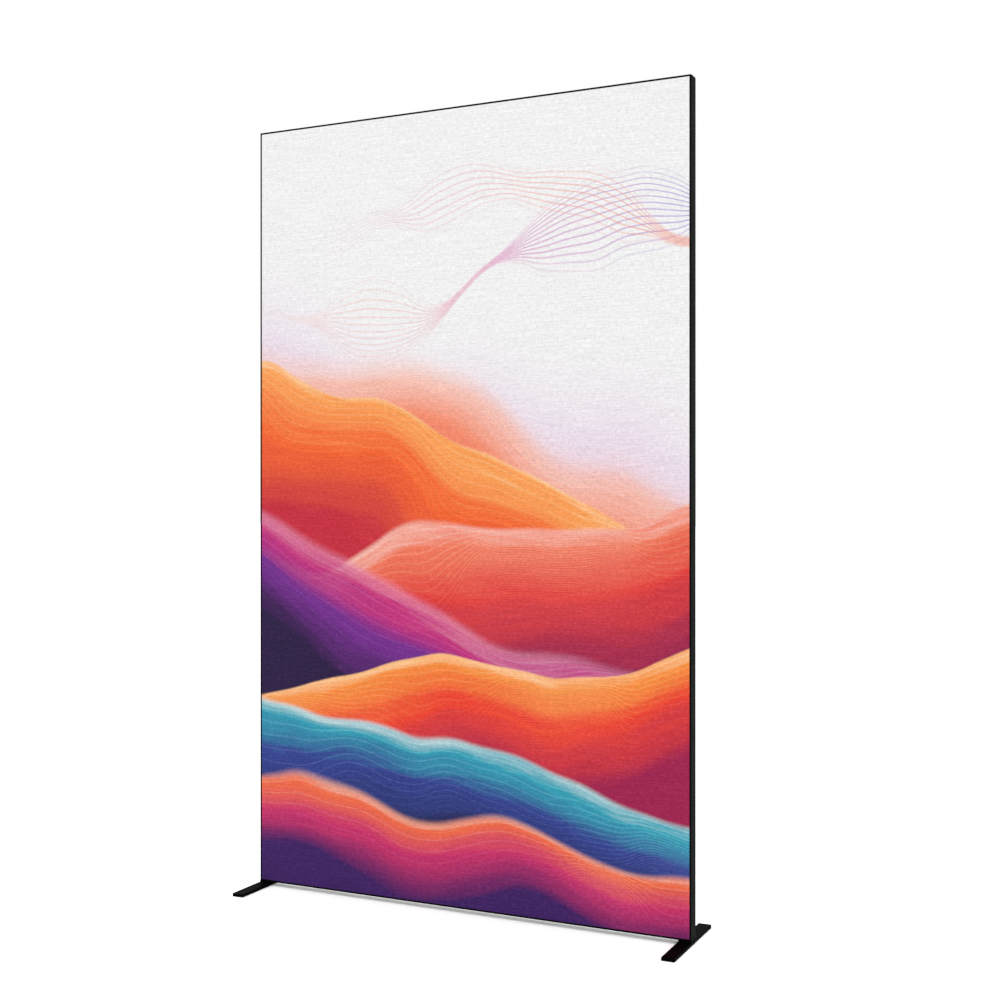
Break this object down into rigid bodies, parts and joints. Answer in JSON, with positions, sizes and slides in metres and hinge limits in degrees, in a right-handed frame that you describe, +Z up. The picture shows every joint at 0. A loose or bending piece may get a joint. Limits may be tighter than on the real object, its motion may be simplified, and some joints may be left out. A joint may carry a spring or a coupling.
{
  "type": "frame display wall",
  "caption": "Free-standing textile display wall: a tall mitred black frame with a printed cloth stretched over its front, a plain cloth over its back, and flat steel feet.",
  "frame": {"origin": "on the floor, under the middle of the wall", "axes": "+Z up, +X to the viewer's right along the wall, +Y towards the back; the print faces -Y"},
  "size_m": [1.502, 0.35, 2.514],
  "materials": {
    "black_profile": "matt black powder-coated extrusion",
    "black_foot_steel": "matt black powder coat on flat steel bar",
    "cast_aluminium": "die-cast, tumbled, slightly grey",
    "black_screw_steel": "black-oxide steel, lightly oiled",
    "bar_aluminium": "mill-finish extruded tube",
    "silicone_strip": "translucent white silicone, matt",
    "printed_textile": "woven polyester with a dye-sublimated abstract print, matt",
    "plain_textile": "unprinted white woven polyester, matt"
  },
  "bodies": {
    "root": {"back_bottom_edge_strip": "silicone_strip", "back_left_edge_strip": "silicone_strip", "back_lining": "plain_textile", "back_right_edge_strip": "silicone_strip", "back_top_edge_strip": "silicone_strip", "bottom_left_corner_bracket": "cast_aluminium", "bottom_left_rail_grub_screw_1": "black_screw_steel", "bottom_left_rail_grub_screw_2": "black_screw_steel", "bottom_left_upright_grub_screw_1": "black_screw_steel", "bottom_left_upright_grub_screw_2": "black_screw_steel", "bottom_rail": "black_profile", "bottom_right_corner_bracket": "cast_aluminium", "bottom_right_rail_grub_screw_1": "black_screw_steel", "bottom_right_rail_grub_screw_2": "black_screw_steel", "bottom_right_upright_grub_screw_1": "black_screw_steel", "bottom_right_upright_grub_screw_2": "black_screw_steel", "front_bottom_edge_strip": "silicone_strip", "front_left_edge_strip": "silicone_strip", "front_print": "printed_textile", "front_right_edge_strip": "silicone_strip", "front_top_edge_strip": "silicone_strip", "left_bar_connector": "cast_aluminium", "left_bar_screw": "black_screw_steel", "left_connector_lower_grub_screw": "black_screw_steel", "left_connector_upper_grub_screw": "black_screw_steel", "left_foot": "black_foot_steel", "left_foot_screw_1": "black_screw_steel", "left_foot_screw_2": "black_screw_steel", "left_foot_spacer": "black_foot_steel", "left_upright": "black_profile", "right_bar_connector": "cast_aluminium", "right_bar_screw": "black_screw_steel", "right_connector_lower_grub_screw": "black_screw_steel", "right_connector_upper_grub_screw": "black_screw_steel", "right_foot": "black_foot_steel", "right_foot_screw_1": "black_screw_steel", "right_foot_screw_2": "black_screw_steel", "right_foot_spacer": "black_foot_steel", "right_upright": "black_profile", "stiffening_bar": "bar_aluminium", "top_left_corner_bracket": "cast_aluminium", "top_left_rail_grub_screw_1": "black_screw_steel", "top_left_rail_grub_screw_2": "black_screw_steel", "top_left_upright_grub_screw_1": "black_screw_steel", "top_left_upright_grub_screw_2": "black_screw_steel", "top_rail": "black_profile", "top_right_corner_bracket": "cast_aluminium", "top_right_rail_grub_screw_1": "black_screw_steel", "top_right_rail_grub_screw_2": "black_screw_steel", "top_right_upright_grub_screw_1": "black_screw_steel", "top_right_upright_grub_screw_2": "black_screw_steel"}
  },
  "joints": []
}
